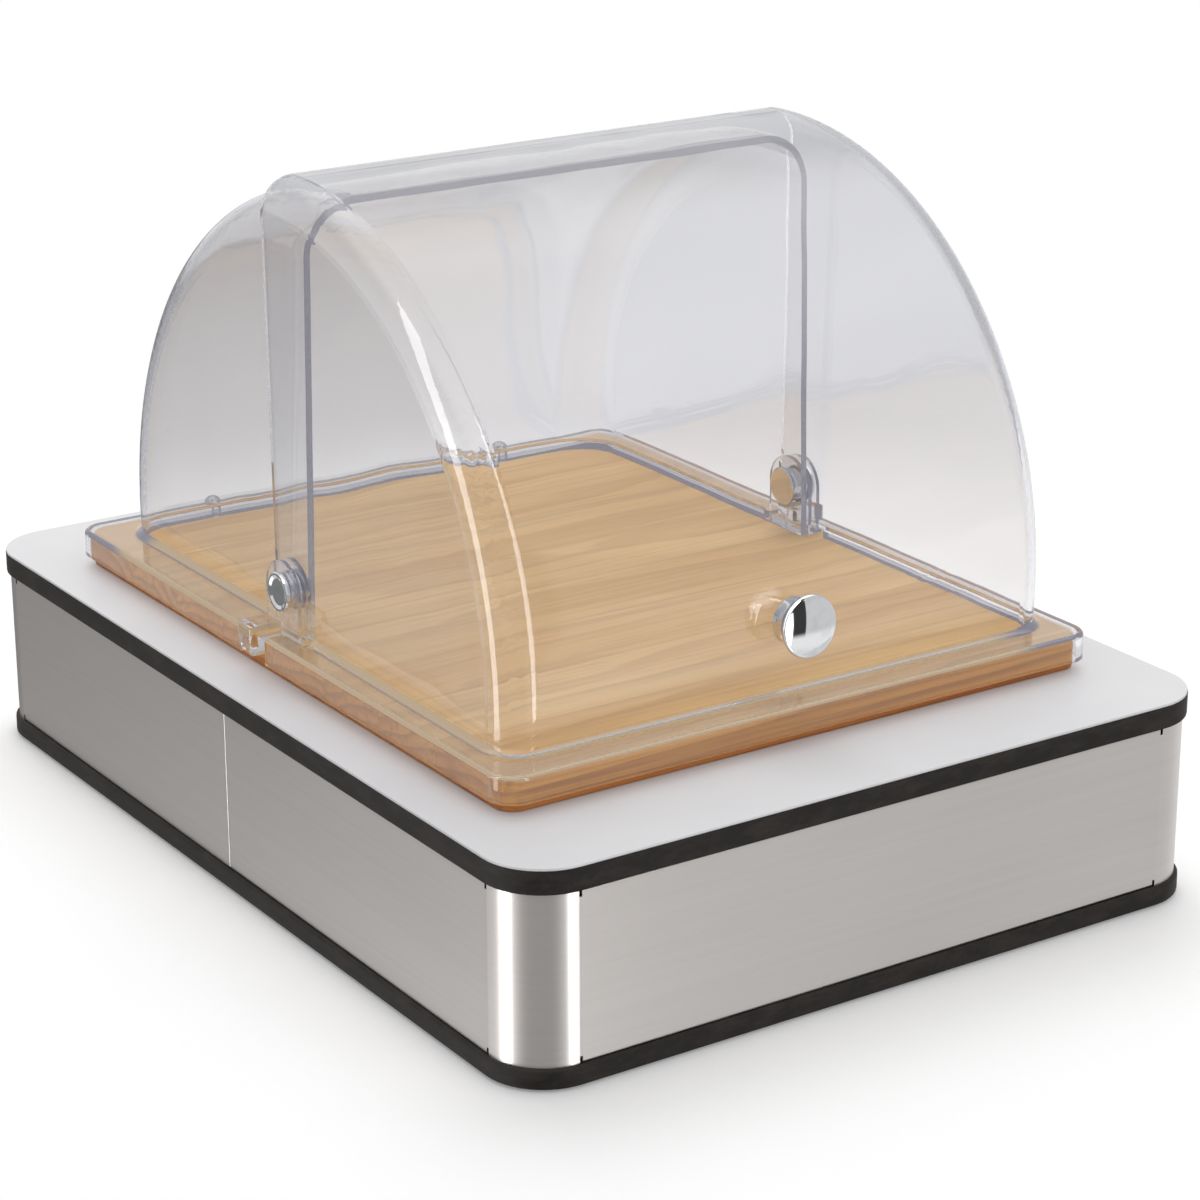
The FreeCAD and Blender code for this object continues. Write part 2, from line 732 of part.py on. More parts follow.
os.makedirs("parts", exist_ok=True)
for name, shape in pieces.items():
    shape.exportStep("parts/" + name + ".step")
    print(name, shape.ShapeType, len(shape.Solids), shape.isValid(), round(shape.Volume, 1))
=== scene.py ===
"""Looks of a buffet display case, dressed on its packed construction frame."""

import logging
import math
from dataclasses import dataclass, field
from enum import Enum
from typing import Iterable, Mapping, Optional, Sequence, Union

import bmesh
import bpy
from mathutils import Matrix, Vector


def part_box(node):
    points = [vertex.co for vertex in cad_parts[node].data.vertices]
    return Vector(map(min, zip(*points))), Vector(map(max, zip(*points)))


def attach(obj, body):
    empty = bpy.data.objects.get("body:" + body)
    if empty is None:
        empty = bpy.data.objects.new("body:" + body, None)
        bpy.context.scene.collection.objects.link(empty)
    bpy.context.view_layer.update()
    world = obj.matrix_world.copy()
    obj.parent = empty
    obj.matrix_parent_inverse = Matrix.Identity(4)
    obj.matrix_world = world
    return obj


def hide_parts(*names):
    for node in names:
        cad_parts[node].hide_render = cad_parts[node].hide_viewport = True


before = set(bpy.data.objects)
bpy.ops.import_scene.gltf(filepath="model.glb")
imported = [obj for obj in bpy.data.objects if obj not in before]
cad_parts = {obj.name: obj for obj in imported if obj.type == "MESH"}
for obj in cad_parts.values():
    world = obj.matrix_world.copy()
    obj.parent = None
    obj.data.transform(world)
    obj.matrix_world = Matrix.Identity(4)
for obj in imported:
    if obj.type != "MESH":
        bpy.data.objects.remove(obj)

LOG = logging.getLogger("display_case")
CREASE = math.radians(35.0)
Colour = tuple[float, float, float]
Stretch = tuple[float, float, float]
Span = tuple[float, float]
Sector = tuple[float, float, float]
Wired = Union["Sock", float, Sequence[float]]


class Body(Enum):
    """Rigid bodies of the case, as the frame names them."""

    BASE = "base"
    BOARD = "board"
    LID = "lid"
    FRONT_HOOD = "front_hood"


class Slot(Enum):
    """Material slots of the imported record."""

    BLACK_BOARD = "black_board"
    WHITE_LAMINATE = "white_laminate"
    BRUSHED_BAND = "brushed_band"
    ZINC_FASTENER = "zinc_fastener"
    RUBBER_PAD = "rubber_pad"
    BOARD_WOOD = "board_wood"
    CLEAR_HOOD = "clear_hood"
    CLEAR_FITTING = "clear_fitting"
    CHROME = "chrome"


class Sock:
    """A node's output socket that takes part in sums as a number does."""

    def __init__(self, graph: "Graph", socket: bpy.types.NodeSocket) -> None:
        """Keep the graph and the socket.

        Args:
            graph: The node graph that new Math nodes go into.
            socket: The output socket that is wrapped.
        """
        self.graph = graph
        self.socket = socket

    def maths(self, operation: str, *values: Wired, clamp: bool = False) -> "Sock":
        """Add one Math node.

        Args:
            operation: Blender's name of the operation.
            values: The operands, sockets or numbers.
            clamp: Whether the result is held between 0 and 1.

        Returns:
            The node's value.
        """
        settings = {"operation": operation, "use_clamp": clamp}
        return self.graph.node("ShaderNodeMath", settings, dict(enumerate(values)))

    def __add__(self, other: Wired) -> "Sock":
        """Sum of this value and another."""
        return self.maths("ADD", self, other)

    def __radd__(self, other: Wired) -> "Sock":
        """Sum of a number and this value."""
        return self.maths("ADD", other, self)

    def __sub__(self, other: Wired) -> "Sock":
        """This value less another."""
        return self.maths("SUBTRACT", self, other)

    def __rsub__(self, other: Wired) -> "Sock":
        """A number less this value."""
        return self.maths("SUBTRACT", other, self)

    def __mul__(self, other: Wired) -> "Sock":
        """Product of this value and another."""
        return self.maths("MULTIPLY", self, other)

    def __rmul__(self, other: Wired) -> "Sock":
        """Product of a number and this value."""
        return self.maths("MULTIPLY", other, self)

    def __truediv__(self, other: Wired) -> "Sock":
        """This value divided by another."""
        return self.maths("DIVIDE", self, other)

    def __pow__(self, other: Wired) -> "Sock":
        """This value raised to a power."""
        return self.maths("POWER", self, other)

    def floor(self) -> "Sock":
        """Whole part of this value."""
        return self.maths("FLOOR", self)

    def fraction(self) -> "Sock":
        """Part of this value after the point."""
        return self.maths("FRACT", self)

    def size(self) -> "Sock":
        """This value without its sign."""
        return self.maths("ABSOLUTE", self)

    def larger(self, other: Wired) -> "Sock":
        """The larger of this value and another."""
        return self.maths("MAXIMUM", self, other)

    def heading(self, other: Wired) -> "Sock":
        """Compass angle in degrees of this value east and another north."""
        return self.maths("ARCTAN2", self, other) * math.degrees(1.0)

    def within(self, low: float, high: float, soft: float) -> "Sock":
        """Share that is 1 between two values and fades out beyond them.

        Args:
            low: The lower value.
            high: The upper value.
            soft: Half of the fade's width.

        Returns:
            The share, held between 0 and 1.
        """
        return self.step(low - soft, low + soft) * (1.0 - self.step(high - soft, high + soft))

    def step(self, low: float, high: float) -> "Sock":
        """Smooth rise from 0 to 1 between two values.

        Args:
            low: The value where the rise starts.
            high: The value where it ends.

        Returns:
            The eased share, held between 0 and 1.
        """
        settings = {"interpolation_type": "SMOOTHSTEP"}
        inputs = {"Value": self, "From Min": low, "From Max": high}
        return self.graph.node("ShaderNodeMapRange", settings, inputs)


class Graph:
    """One node tree and the single method that adds nodes to it."""

    def __init__(self, tree: bpy.types.NodeTree) -> None:
        """Empty the tree.

        Args:
            tree: The node tree of a material or of the world.
        """
        self.tree = tree
        tree.nodes.clear()

    def node(
        self,
        kind: str,
        settings: Optional[Mapping[str, object]] = None,
        inputs: Optional[Mapping[Union[str, int], Wired]] = None,
        output: Union[str, int] = 0,
    ) -> Sock:
        """Add a node, set it up, and wire it.

        Args:
            kind: Blender's type name of the node.
            settings: Properties that are set before the sockets.
            inputs: Values or links by the sockets' name or number.
            output: The name or number of the wanted output.

        Returns:
            The wanted output.
        """
        made = self.tree.nodes.new(kind)
        for name, value in (settings or {}).items():
            setattr(made, name, value)
        for name, value in (inputs or {}).items():
            target = made.inputs[name]
            if isinstance(value, Sock):
                self.tree.links.new(value.socket, target)
            else:
                target.default_value = value
        outlet = made.outputs[output] if len(made.outputs) else None
        return Sock(self, outlet)

    def place(self, stretch: Sequence[float] = (1.0, 1.0, 1.0)) -> Sock:
        """Object coordinates, stretched along the axes.

        Args:
            stretch: Factor for each axis.

        Returns:
            The stretched place as a vector.
        """
        here = self.node("ShaderNodeTexCoord", output="Object")
        settings = {"operation": "MULTIPLY"}
        return self.node("ShaderNodeVectorMath", settings, {0: here, 1: tuple(stretch)})

    def axes(self, vector: Sock) -> tuple[Sock, Sock, Sock]:
        """The three parts of a vector."""
        split = self.node("ShaderNodeSeparateXYZ", None, {0: vector}).socket.node
        return tuple(Sock(self, split.outputs[i]) for i in range(3))

    def noise(self, vector: Sock, scale: float, detail: float = 2.0, rough: float = 0.5) -> Sock:
        """Cloudy noise from 0 to 1.

        Args:
            vector: The place that is read.
            scale: Number of clouds per unit of the vector.
            detail: Number of finer layers.
            rough: Strength of the finer layers.

        Returns:
            The noise value.
        """
        inputs = {"Vector": vector, "Scale": scale, "Detail": detail, "Roughness": rough}
        return self.node("ShaderNodeTexNoise", None, inputs, "Fac")

    def blend(self, share: Wired, first: Wired, second: Wired) -> Sock:
        """Mix of two colours.

        Args:
            share: Share of the second colour.
            first: First colour.
            second: Second colour.

        Returns:
            The mixed colour.
        """
        settings = {"data_type": "RGBA"}
        inputs = {0: share, 6: self.rgba(first), 7: self.rgba(second)}
        return self.node("ShaderNodeMix", settings, inputs, 2)

    def darken(self, share: Wired, first: Wired, second: Wired) -> Sock:
        """Colour multiplied by another, by a share."""
        settings = {"data_type": "RGBA", "blend_type": "MULTIPLY"}
        inputs = {0: share, 6: self.rgba(first), 7: self.rgba(second)}
        return self.node("ShaderNodeMix", settings, inputs, 2)

    @staticmethod
    def rgba(colour: Wired) -> Wired:
        """A colour with its fourth part, or the socket as it is."""
        return colour if isinstance(colour, Sock) else (*colour, 1.0)

    def bump(self, height: Sock, strength: float, distance: float) -> Sock:
        """Surface relief for a shader's normal.

        Args:
            height: Relief from 0 to 1.
            strength: Share of the relief that shows.
            distance: Depth of the full relief in metres.

        Returns:
            The bent normal.
        """
        inputs = {"Height": height, "Strength": strength, "Distance": distance}
        return self.node("ShaderNodeBump", None, inputs)


class Finish:
    """A surface finish that makes one material."""

    name: str = "finish"

    def paint(self, graph: Graph) -> tuple[dict[str, Wired], dict[str, Wired]]:
        """Lay out the finish's nodes.

        Args:
            graph: The material's node graph.

        Returns:
            The values of the main shader's sockets, and those of a volume in it.
        """
        raise NotImplementedError

    def cover(self, graph: Graph, shader: Sock) -> Sock:
        """The finished surface, from the main shader; plain unless a finish changes it."""
        return shader

    def material(self) -> bpy.types.Material:
        """Make the material of this finish.

        Returns:
            The finished material.
        """
        made = bpy.data.materials.new(self.name)
        made.use_nodes = True
        graph = Graph(made.node_tree)
        surface, volume = self.paint(graph)
        shader = graph.node("ShaderNodeBsdfPrincipled", None, surface)
        outlets = {"Surface": self.cover(graph, shader)}
        if volume:
            outlets["Volume"] = graph.node("ShaderNodeVolumeAbsorption", None, volume)
        graph.node("ShaderNodeOutputMaterial", None, outlets)
        LOG.info("finish %s", self.name)
        return made


@dataclass(frozen=True)
class ClearPlastic(Finish):
    """Clear formed plastic with a cool grey cast in its depth and slow waves in its wall."""

    name: str = "clear_plastic"
    tint: Colour = (0.955, 0.955, 0.960)
    cast: Colour = (0.655, 0.645, 0.735)
    density: float = 16.0
    shade: Colour = (0.965, 0.965, 0.970)
    # Painted light: the two glow tones below are emission colours that stand in for light guided along the
    # wall, purple-grey at the high, rear and right edges and cream low at the foot.
    painted_edge_glow: Colour = (0.240, 0.232, 0.275)
    painted_foot_glow: Colour = (0.520, 0.390, 0.250)
    foot_top: float = 0.110
    foot_soft: float = 0.004
    coat_rise: float = 0.010
    rear_edge: Span = (0.135, 0.150)
    right_edge: Span = (0.100, 0.120)
    trapped: float = 1.5
    trapped_soft: float = 0.1
    ior: float = 1.49
    gloss: float = 0.5
    polish: float = 0.012
    wear_scale: float = 160.0
    wear: float = 0.03
    wave_scale: float = 14.0
    wave_depth: float = 0.0016

    def paint(self, graph: Graph) -> tuple[dict[str, Wired], dict[str, Wired]]:
        """Lay out the clear plastic's nodes."""
        place = graph.place()
        wave = graph.noise(place, self.wave_scale, 1.0)
        touch = graph.noise(place, self.wear_scale, 4.0, 0.7)
        height = graph.axes(place)[2]
        above_foot = height.step(self.foot_top - self.foot_soft, self.foot_top + self.coat_rise)
        surface = {
            "Base Color": graph.rgba(self.tint),
            "Roughness": touch.step(0.45, 0.9) * self.wear + self.polish,
            "IOR": self.ior,
            "Transmission Weight": 1.0,
            "Coat Weight": above_foot * self.gloss,
            "Coat Roughness": self.polish,
            "Normal": graph.bump(wave, 1.0, self.wave_depth),
        }
        return surface, {"Color": graph.rgba(self.cast), "Density": self.density}

    def cover(self, graph: Graph, shader: Sock) -> Sock:
        """Let light pass straight on to other pieces, and paint light into the wall: a ray that stays in it
        past a few glossy bounces shows a flat emission tone.

        Args:
            graph: The material's node graph.
            shader: The plastic's own shader, which the eye sees.

        Returns:
            The mixed shader.
        """
        bounces = graph.node("ShaderNodeLightPath", output="Glossy Depth")
        inside = graph.node("ShaderNodeNewGeometry", output="Backfacing")
        # Painted light: a ray still inside the wall past the trapped glossy depth shows a flat emission tone
        # instead of its own shading, cream low at the foot and purple-grey up high, at the rear and at the
        # right.
        painted_glow_share = bounces.step(self.trapped - self.trapped_soft, self.trapped + self.trapped_soft) * inside
        x, y, z = graph.axes(graph.place())
        high = z.step(self.foot_top - self.foot_soft, self.foot_top + self.foot_soft)
        high = high.larger(y.step(*self.rear_edge)).larger(x.step(*self.right_edge))
        foot = graph.node("ShaderNodeEmission", None, {"Color": graph.rgba(self.painted_foot_glow)})
        edge = graph.node("ShaderNodeEmission", None, {"Color": graph.rgba(self.painted_edge_glow)})
        glow = graph.node("ShaderNodeMixShader", None, {0: high, 1: foot, 2: edge})
        shader = graph.node("ShaderNodeMixShader", None, {0: painted_glow_share, 1: shader, 2: glow})
        shadow = graph.node("ShaderNodeLightPath", output="Is Shadow Ray")
        scattered = graph.node("ShaderNodeLightPath", output="Is Diffuse Ray")
        passed = graph.node("ShaderNodeBsdfTransparent", None, {"Color": graph.rgba(self.shade)})
        onward = shadow.larger(scattered)
        return graph.node("ShaderNodeMixShader", None, {0: onward, 1: shader, 2: passed})


@dataclass(frozen=True)
class BoardWood(Finish):
    """Glued hardwood staves along the board's width, with rings on the end grain."""

    name: str = "stave_wood"
    pale: Colour = (0.815, 0.550, 0.255)
    middle: Colour = (0.715, 0.440, 0.182)
    dark: Colour = (0.370, 0.180, 0.064)
    stave: float = 0.0414
    ring: float = 0.0052
    heart_depth: float = 0.060
    heart_low: float = -0.01
    wander: Stretch = (4.0, 22.0, 22.0)
    wander_depth: float = 0.016
    ripple: Stretch = (16.0, 120.0, 120.0)
    ripple_depth: float = 0.0016
    fibre: Stretch = (9.0, 420.0, 420.0)
    pores: Stretch = (45.0, 1500.0, 1500.0)
    cloud: Stretch = (5.0, 16.0, 16.0)
    streak: Stretch = (3.0, 60.0, 60.0)
    stave_cast: Colour = (0.80, 0.72, 0.62)
    side_cast: Colour = (1.0, 0.72, 0.33)
    long_side_cast: Colour = (0.94, 0.93, 0.95)
    end_cast: Colour = (1.0, 0.97, 0.84)
    # Painted shade: the board's lowest strip, below the plastic skirt, is darkened and reddened to stand in
    # for the contact shadow there.
    painted_low_shade: Colour = (0.68, 0.50, 0.40)
    painted_low_shade_rise: Span = (0.0896, 0.0912)
    seam_cast: Colour = (0.55, 0.42, 0.30)

    def paint(self, graph: Graph) -> tuple[dict[str, Wired], dict[str, Wired]]:
        """Lay out the wood's nodes."""
        x, y, z = graph.axes(graph.place())
        row = (y / self.stave).floor()
        lot = graph.node("ShaderNodeTexWhiteNoise", {"noise_dimensions": "1D"}, {"W": row}, "Color")
        first, second, third = graph.axes(lot)
        shifted = graph.node(
            "ShaderNodeCombineXYZ", None, {0: x + first * 3.0, 1: y + second * 2.0, 2: z}
        )
        wander = self.drawn_out(graph, shifted, self.wander, 2.0)
        ripple = self.drawn_out(graph, shifted, self.ripple, 2.0)
        heart_y = (row + first) * self.stave
        heart_z = second * self.heart_depth + self.heart_low
        across = y - heart_y
        down = z - heart_z
        reach = (across * across + down * down) ** 0.5
        grown = reach + wander * self.wander_depth + ripple * self.ripple_depth
        season = (grown / self.ring).fraction()
        late = season.step(0.25, 0.93) * (1.0 - season.step(0.93, 1.0))
        fibre = self.drawn_out(graph, shifted, self.fibre, 3.0)
        pores = self.drawn_out(graph, shifted, self.pores, 1.0)
        cloud = self.drawn_out(graph, shifted, self.cloud, 3.0)
        tone = graph.blend(cloud.step(0.30, 0.72), self.pale, self.middle)
        facing = graph.axes(graph.node("ShaderNodeNewGeometry", output="Normal"))
        end = facing[0].size().step(0.55, 0.9)
        side = 1.0 - facing[2].size().step(0.35, 0.75)
        tone = graph.blend(late * (side * 0.25 + 0.25), tone, self.dark)
        tone = graph.blend((1.0 - fibre).step(0.42, 0.80) * (side * 0.30 + 0.34), tone, self.dark)
        tone = graph.blend((1.0 - pores).step(0.60, 0.78) * 0.35, tone, self.dark)
        streak = self.drawn_out(graph, shifted, self.streak, 1.0)
        tone = graph.blend(streak.step(0.60, 0.80) * 0.36, tone, self.dark)
        tone = graph.darken(third * 0.30, tone, self.stave_cast)
        tone = graph.darken(side, tone, self.side_cast)
        tone = graph.darken(side * (1.0 - end), tone, self.long_side_cast)
        tone = graph.darken(side * end, tone, self.end_cast)
        # Painted shade: darken and redden the lowest strip below the skirt, for the contact shadow.
        tone = graph.darken(1.0 - z.step(*self.painted_low_shade_rise), tone, self.painted_low_shade)
        seam = ((y / self.stave).fraction() - 0.5).size().step(0.488, 0.499)
        tone = graph.darken(seam * 0.35, tone, self.seam_cast)
        relief = fibre * 0.5 + pores * 0.5 - late * 0.25
        surface = {
            "Base Color": tone,
            "Roughness": 0.40 + fibre * 0.12 + end * 0.12,
            "Specular IOR Level": 0.4,
            "Normal": graph.bump(relief, 0.35, 0.0002),
        }
        return surface, {}

    @staticmethod
    def drawn_out(graph: Graph, vector: Sock, stretch: Stretch, detail: float) -> Sock:
        """Noise that is drawn out along the grain.

        Args:
            graph: The material's node graph.
            vector: The place that is read.
            stretch: Number of clouds per metre along each axis.
            detail: Number of finer layers.

        Returns:
            The noise value.
        """
        drawn = graph.node("ShaderNodeVectorMath", {"operation": "MULTIPLY"}, {0: vector, 1: stretch})
        return graph.noise(drawn, 1.0, detail, 0.55)


@dataclass(frozen=True)
class BrushedSteel(Finish):
    """Stainless sheet with a fine brushed grain that runs level round the base."""

    name: str = "brushed_steel"
    bright: Colour = (0.648, 0.616, 0.594)
    dull: Colour = (0.552, 0.526, 0.508)
    roughness: float = 0.29
    stretch: float = 0.80
    upright: float = 0.25
    hair: Stretch = (10.0, 10.0, 1300.0)
    streak: Stretch = (5.0, 5.0, 420.0)
    cloud: Stretch = (7.0, 7.0, 14.0)
    cloud_cast: Colour = (0.88, 0.87, 0.86)
    relief: float = 0.03
    grain: float = 0.00002

    def paint(self, graph: Graph) -> tuple[dict[str, Wired], dict[str, Wired]]:
        """Lay out the steel's nodes."""
        hair = graph.noise(graph.place(self.hair), 1.0, 2.0, 0.5)
        streak = graph.noise(graph.place(self.streak), 1.0, 3.0, 0.6)
        cloud = graph.noise(graph.place(self.cloud), 1.0, 2.0)
        tone = graph.blend(streak.step(0.25, 0.75) * 0.25 + hair * 0.25, self.bright, self.dull)
        tone = graph.darken(cloud.step(0.35, 0.75) * 0.35, tone, self.cloud_cast)
        surface = {
            "Base Color": tone,
            "Metallic": 1.0,
            "Roughness": self.roughness + streak * 0.05 + cloud * 0.03,
            "Anisotropic": self.stretch,
            "Anisotropic Rotation": self.upright,
            "Normal": graph.bump(hair * 0.7 + streak * 0.3, self.relief, self.grain),
        }
        return surface, {}


@dataclass(frozen=True)
class PressedBoard(Finish):
    """Dense black board with a brownish mottle where it is cut and rounded."""

    name: str = "black_pressed_board"
    black: Colour = (0.0135, 0.0115, 0.0105)
    brown: Colour = (0.034, 0.027, 0.023)
    fleck: Colour = (0.06, 0.05, 0.043)
    mottle: Stretch = (60.0, 60.0, 160.0)

    def paint(self, graph: Graph) -> tuple[dict[str, Wired], dict[str, Wired]]:
        """Lay out the board's nodes."""
        mottle = graph.noise(graph.place(self.mottle), 1.0, 4.0, 0.65)
        speck = graph.noise(graph.place(), 900.0, 2.0)
        tone = graph.blend(mottle.step(0.35, 0.72) * 0.8, self.black, self.brown)
        tone = graph.blend(speck.step(0.62, 0.78) * 0.35, tone, self.fleck)
        surface = {
            "Base Color": tone,
            "Roughness": 0.50 + mottle * 0.18,
            "Specular IOR Level": 0.16,
            "Normal": graph.bump(speck * 0.6 + mottle * 0.4, 0.3, 0.0002),
        }
        return surface, {}


@dataclass(frozen=True)
class WhiteLaminate(Finish):
    """White laminate sheet with a satin sheen and a fine dimple."""

    name: str = "white_laminate_sheet"
    white: Colour = (0.735, 0.735, 0.745)
    shade: Colour = (0.690, 0.690, 0.702)

    def paint(self, graph: Graph) -> tuple[dict[str, Wired], dict[str, Wired]]:
        """Lay out the laminate's nodes."""
        cloud = graph.noise(graph.place(), 9.0, 3.0)
        dimple = graph.noise(graph.place(), 1400.0, 1.0)
        surface = {
            "Base Color": graph.blend(cloud.step(0.3, 0.7), self.white, self.shade),
            "Roughness": 0.34 + cloud * 0.08 + dimple * 0.05,
            "Specular IOR Level": 0.45,
            "Normal": graph.bump(dimple, 0.12, 0.0001),
        }
        return surface, {}


@dataclass(frozen=True)
class PolishedChrome(Finish):
    """Bright chrome plating with faint smears from handling."""

    name: str = "polished_chrome"
    metal: Colour = (0.800, 0.812, 0.830)
    smear: Colour = (0.700, 0.712, 0.735)

    def paint(self, graph: Graph) -> tuple[dict[str, Wired], dict[str, Wired]]:
        """Lay out the chrome's nodes."""
        touch = graph.noise(graph.place(), 160.0, 3.0)
        surface = {
            "Base Color": graph.blend(touch.step(0.45, 0.8), self.metal, self.smear),
            "Metallic": 1.0,
            "Roughness": 0.035 + touch.step(0.5, 0.85) * 0.06,
        }
        return surface, {}


@dataclass(frozen=True)
class ZincSteel(Finish):
    """Zinc-plated steel of the fasteners inside the base."""

    name: str = "zinc_plated_steel"
    metal: Colour = (0.560, 0.570, 0.590)
    stain: Colour = (0.420, 0.420, 0.430)

    def paint(self, graph: Graph) -> tuple[dict[str, Wired], dict[str, Wired]]:
        """Lay out the plated steel's nodes."""
        flake = graph.noise(graph.place(), 420.0, 3.0)
        surface = {
            "Base Color": graph.blend(flake.step(0.35, 0.75), self.metal, self.stain),
            "Metallic": 1.0,
            "Roughness": 0.32 + flake * 0.16,
            "Normal": graph.bump(flake, 0.2, 0.0001),
        }
        return surface, {}


@dataclass(frozen=True)
class PadRubber(Finish):
    """Dark rubber of the foot pads."""

    name: str = "pad_rubber"
    black: Colour = (0.018, 0.018, 0.019)
    dust: Colour = (0.045, 0.044, 0.043)

    def paint(self, graph: Graph) -> tuple[dict[str, Wired], dict[str, Wired]]:
        """Lay out the rubber's nodes."""
        grit = graph.noise(graph.place(), 700.0, 3.0)
        surface = {
            "Base Color": graph.blend(grit.step(0.45, 0.8), self.black, self.dust),
            "Roughness": 0.72 + grit * 0.2,
            "Normal": graph.bump(grit, 0.4, 0.0002),
        }
        return surface, {}


@dataclass
class Finishes:
    """The case's finishes as materials, by material slot."""

    ready: dict[Slot, bpy.types.Material] = field(default_factory=dict)

    def make(self) -> None:
        """Make every material once."""
        fitting = ClearPlastic(name="clear_fitting_plastic", wave_depth=0.0001, trapped=3.5)
        kinds = {
            Slot.BLACK_BOARD: PressedBoard(),
            Slot.WHITE_LAMINATE: WhiteLaminate(),
            Slot.BRUSHED_BAND: BrushedSteel(),
            Slot.ZINC_FASTENER: ZincSteel(),
            Slot.RUBBER_PAD: PadRubber(),
            Slot.BOARD_WOOD: BoardWood(),
            Slot.CLEAR_HOOD: ClearPlastic(),
            Slot.CLEAR_FITTING: fitting,
            Slot.CHROME: PolishedChrome(),
        }
        for slot, kind in kinds.items():
            self.ready[slot] = kind.material()

    def dress(self, nodes: Iterable[str], slot: Slot) -> None:
        """Give construction nodes a finish.

        Args:
            nodes: Names of the nodes.
            slot: The slot whose material they take.
        """
        for name in nodes:
            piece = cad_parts[name]
            for place in piece.material_slots:
                place.material = self.ready[slot]
            LOG.info("node %s wears %s", name, slot.value)


class CornerLayout:
    """Geometry Nodes tree that sets one piece out at the corners of a rectangle."""

    def __init__(self) -> None:
        """Build the tree and keep its inputs' identifiers."""
        tree = bpy.data.node_groups.new("corner layout", "GeometryNodeTree")
        face = tree.interface
        face.new_socket("Geometry", in_out="INPUT", socket_type="NodeSocketGeometry")
        self.inputs: dict[str, str] = {}
        wanted = (
            ("Spacing X", "NodeSocketFloat"),
            ("Spacing Y", "NodeSocketFloat"),
            ("Finish", "NodeSocketMaterial"),
        )
        for name, kind in wanted:
            made = face.new_socket(name, in_out="INPUT", socket_type=kind)
            self.inputs[name] = made.identifier
        face.new_socket("Geometry", in_out="OUTPUT", socket_type="NodeSocketGeometry")
        graph = Graph(tree)
        source = graph.node("NodeGroupInput").socket.node
        unit, spacing_x, spacing_y, finish = (Sock(graph, s) for s in source.outputs[:4])
        corners = graph.node(
            "GeometryNodeMeshGrid",
            None,
            {"Size X": spacing_x, "Size Y": spacing_y, "Vertices X": 2, "Vertices Y": 2},
        )
        copies = graph.node("GeometryNodeInstanceOnPoints", None, {"Points": corners, "Instance": unit})
        solid = graph.node("GeometryNodeRealizeInstances", None, {0: copies})
        painted = graph.node("GeometryNodeSetMaterial", None, {"Geometry": solid, "Material": finish})
        graph.node("NodeGroupOutput", None, {0: painted})
        self.tree = tree

    def apply(
        self, name: str, unit: bpy.types.Mesh, spacing: tuple[float, float], finish: bpy.types.Material
    ) -> bpy.types.Object:
        """Set a piece out and turn the result into a plain mesh.

        Args:
            name: Name of the finished piece.
            unit: Mesh of one copy, about the rectangle's centre.
            spacing: Sides of the rectangle in metres.
            finish: Material of the copies.

        Returns:
            The finished piece, at the origin.
        """
        seed = bpy.data.objects.new(name + "_seed", unit)
        bpy.context.scene.collection.objects.link(seed)
        layout = seed.modifiers.new("layout", "NODES")
        layout.node_group = self.tree
        layout[self.inputs["Spacing X"]] = spacing[0]
        layout[self.inputs["Spacing Y"]] = spacing[1]
        layout[self.inputs["Finish"]] = finish
        ready = seed.evaluated_get(bpy.context.evaluated_depsgraph_get())
        mesh = bpy.data.meshes.new_from_object(ready)
        seed.modifiers.remove(layout)
        bpy.data.objects.remove(seed)
        mesh.name = name
        piece = bpy.data.objects.new(name, mesh)
        bpy.context.scene.collection.objects.link(piece)
        return piece


def turned(name: str, profile: Sequence[tuple[float, float]], steps: int) -> bpy.types.Mesh:
    """Mesh turned about the upright axis.

    Args:
        name: Name of the mesh.
        profile: Radius and height of each ring, from the axis out and back to it.
        steps: Number of points round a ring.

    Returns:
        A closed mesh with outward faces.
    """
    shape = bmesh.new()
    rings = []
    for radius, height in profile:
        if radius == 0.0:
            rings.append([shape.verts.new((0.0, 0.0, height))])
            continue
        ring = []
        for i in range(steps):
            turn = 2.0 * math.pi * i / steps
            ring.append(shape.verts.new((radius * math.cos(turn), radius * math.sin(turn), height)))
        rings.append(ring)
    for low, high in zip(rings, rings[1:]):
        for i in range(steps):
            j = (i + 1) % steps
            corners = [low[i % len(low)], low[j % len(low)], high[j % len(high)], high[i % len(high)]]
            shape.faces.new(list(dict.fromkeys(corners)))
    bmesh.ops.recalc_face_normals(shape, faces=shape.faces)
    mesh = bpy.data.meshes.new(name)
    shape.to_mesh(mesh)
    shape.free()
    for polygon in mesh.polygons:
        polygon.use_smooth = True
    mesh.set_sharp_from_angle(angle=CREASE)
    return mesh


